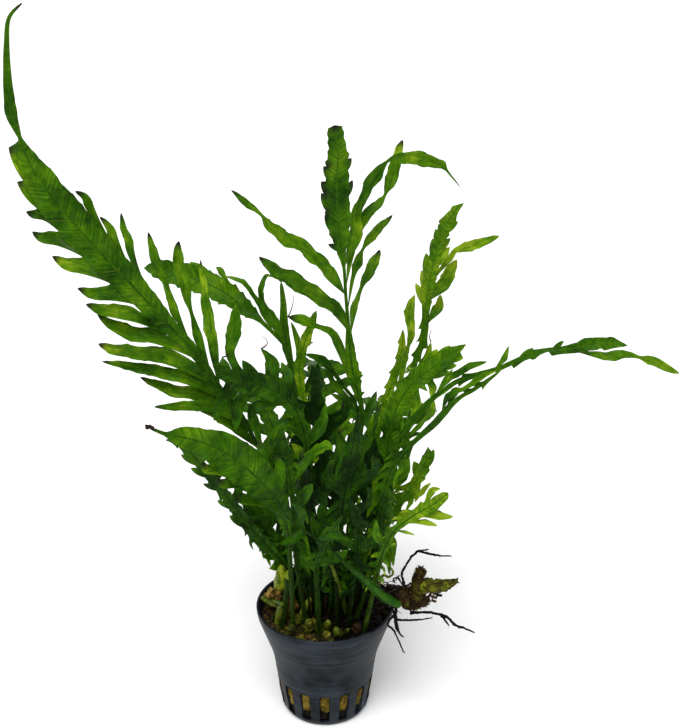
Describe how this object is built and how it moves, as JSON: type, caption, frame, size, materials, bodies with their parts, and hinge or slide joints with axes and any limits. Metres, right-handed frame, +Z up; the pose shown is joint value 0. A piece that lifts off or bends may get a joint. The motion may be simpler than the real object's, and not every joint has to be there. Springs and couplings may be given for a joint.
{
  "type": "potted aquarium fern",
  "caption": "Aquarium water fern with lobed and toothed fronds, a creeping rhizome and loose roots, rooted in mineral wool in a slotted grey net pot.",
  "frame": {"origin": "middle of the underside of the pot, on the surface it stands on", "axes": "+Z up along the pot axis, -Y towards the viewer of the picture, +X to that viewer's right, the side on which the rhizome leaves the pot"},
  "size_m": [0.2163, 0.1586, 0.281],
  "materials": {
    "leaf": "thin green fern leaf, satin, lets light through",
    "young_leaf": "thin yellow-green young leaf, satin, lets light through",
    "old_stalk": "cut and dying leaf stalk, dull",
    "pot_plastic": "dark grey moulded plastic, slightly glossy",
    "mineral_wool": "wet brown mineral wool with dirt",
    "root": "nearly black wiry root",
    "rhizome": "olive and brown scaly rhizome"
  },
  "bodies": {
    "root": {"crozier": "young_leaf", "frond_back_left": "leaf", "frond_back_middle": "leaf", "frond_back_right": "leaf", "frond_dark_middle": "leaf", "frond_dark_right": "leaf", "frond_drooping_left": "leaf", "frond_far_right": "leaf", "frond_inner_front": "leaf", "frond_inner_left": "leaf", "frond_inner_right": "leaf", "frond_light_left": "young_leaf", "frond_light_lower_right": "young_leaf", "frond_light_right": "young_leaf", "frond_low_front": "leaf", "frond_low_left": "leaf", "frond_lower_far_right": "leaf", "frond_lower_middle": "leaf", "frond_lower_right": "leaf", "frond_maple_right": "leaf", "frond_middle_left": "leaf", "frond_narrow_left": "leaf", "frond_rear_left": "leaf", "frond_rear_low_left": "leaf", "frond_rear_middle_left": "leaf", "frond_rear_middle_right": "leaf", "frond_rear_right": "leaf", "frond_right_upright": "leaf", "frond_strap": "leaf", "frond_tall_left": "leaf", "frond_tall_middle": "leaf", "frond_thin_arching": "leaf", "frond_thorny_left": "leaf", "old_rhizome": "rhizome", "old_stalk_curved": "old_stalk", "old_stalk_front": "old_stalk", "old_stalk_left": "old_stalk", "old_stalk_middle": "old_stalk", "old_stalk_right": "old_stalk", "pot": "pot_plastic", "rhizome": "rhizome", "rhizome_bud": "rhizome", "rhizome_tip": "rhizome", "rockwool_plug": "mineral_wool", "root_hanging": "root", "root_long": "root", "root_upper": "root"}
  },
  "joints": []
}
